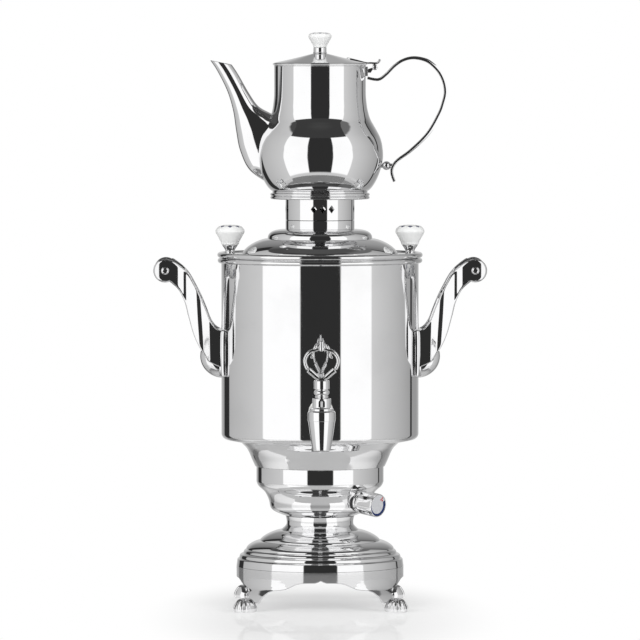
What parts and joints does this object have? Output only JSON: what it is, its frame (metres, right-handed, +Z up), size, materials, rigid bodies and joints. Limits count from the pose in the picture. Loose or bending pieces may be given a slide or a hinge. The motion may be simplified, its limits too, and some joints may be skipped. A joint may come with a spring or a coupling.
{
  "type": "electric samovar",
  "caption": "Electric samovar on a footed base: chromed drum with a front tap and two porcelain-gripped handles, a knobbed lid with a steam collar, and a spouted teapot standing on its crown.",
  "frame": {"origin": "on the vessel's axis at the level of the table it stands on", "axes": "+Z up along the vessel's axis; the tap faces -Y, the teapot's spout points to -X and its handle to +X"},
  "size_m": [0.2992, 0.2535, 0.5165],
  "materials": {
    "chrome": "polished",
    "steel": "satin",
    "brass": "satin",
    "aluminium": "satin",
    "porcelain": "gloss",
    "black_plastic": "satin",
    "dial_grey": "satin",
    "seal": "matte",
    "steatite": "matte",
    "bakelite": "satin",
    "sleeving": "matte"
  },
  "bodies": {
    "vessel": {"foot_ring": "chrome", "bottom_cover": "steel", "cover_screws": "steel", "cord_gland": "black_plastic", "base_dome": "chrome", "neck_collar": "chrome", "tie_tube": "brass", "tie_nuts": "steel", "heater_bowl": "chrome", "thermostat_body": "bakelite", "thermostat_bezel": "black_plastic", "terminal_block": "steatite", "heater_leads": "sleeving", "cove_ring": "chrome", "drum_shell": "chrome", "tank_floor": "steel", "heater_plate": "aluminium", "heater_element": "steel", "safety_cutout": "bakelite", "tap_shank": "steel", "tap_escutcheon": "chrome", "tap_gaskets": "seal", "tap_nut": "brass", "tap_body": "chrome", "tap_nozzle": "chrome", "tap_bonnet": "chrome", "handle_bracket_left": "chrome", "handle_bracket_right": "chrome", "handle_grip_left": "porcelain", "handle_grip_right": "porcelain", "handle_rods": "steel", "handle_end_screws": "chrome", "handle_fixings": "steel"},
    "tap_key": {"tap_plug": "brass", "tap_key": "chrome"},
    "thermostat": {"thermostat_shaft": "steel", "thermostat_knob": "chrome", "thermostat_dial": "dial_grey"},
    "lid": {"lid_dome": "chrome", "lid_collar": "chrome", "lid_ferrules": "chrome", "lid_knob_left": "porcelain", "lid_knob_right": "porcelain"},
    "crown": {"crown_collar": "chrome", "warming_plate": "chrome"},
    "teapot": {"teapot_body": "chrome", "teapot_spout": "chrome", "teapot_handle": "chrome", "handle_stud": "chrome", "hinge_bracket": "chrome", "hinge_pin": "steel", "tea_strainer": "steel"},
    "teapot_lid": {"teapot_lid": "chrome", "thumb_lever": "chrome", "lid_ferrule": "chrome", "teapot_knob": "porcelain"}
  },
  "joints": [
    {"name": "tap_turn", "type": "hinge", "parent": "vessel", "child": "tap_key", "pos_m": [0, -0.149, 0.18], "axis": [0, 0, 1], "range_deg": [0, 90]},
    {"name": "thermostat_turn", "type": "hinge", "parent": "vessel", "child": "thermostat", "pos_m": [0, 0, 0.10205], "axis": [-0.7259, 0.6769, 0.1219], "range_deg": [0, 240]},
    {"name": "lid_lift", "type": "slide", "parent": "vessel", "child": "lid", "axis": [0, 0, 1], "range_m": [0, 0.12]},
    {"name": "crown_lift", "type": "slide", "parent": "lid", "child": "crown", "axis": [0, 0, 1], "range_m": [0, 0.08]},
    {"name": "teapot_lift", "type": "slide", "parent": "crown", "child": "teapot", "axis": [0, 0, 1], "range_m": [0, 0.12]},
    {"name": "teapot_lid_hinge", "type": "hinge", "parent": "teapot", "child": "teapot_lid", "pos_m": [0.0494, 0, 0.4847], "axis": [0, 1, 0], "range_deg": [0, 95]}
  ]
}
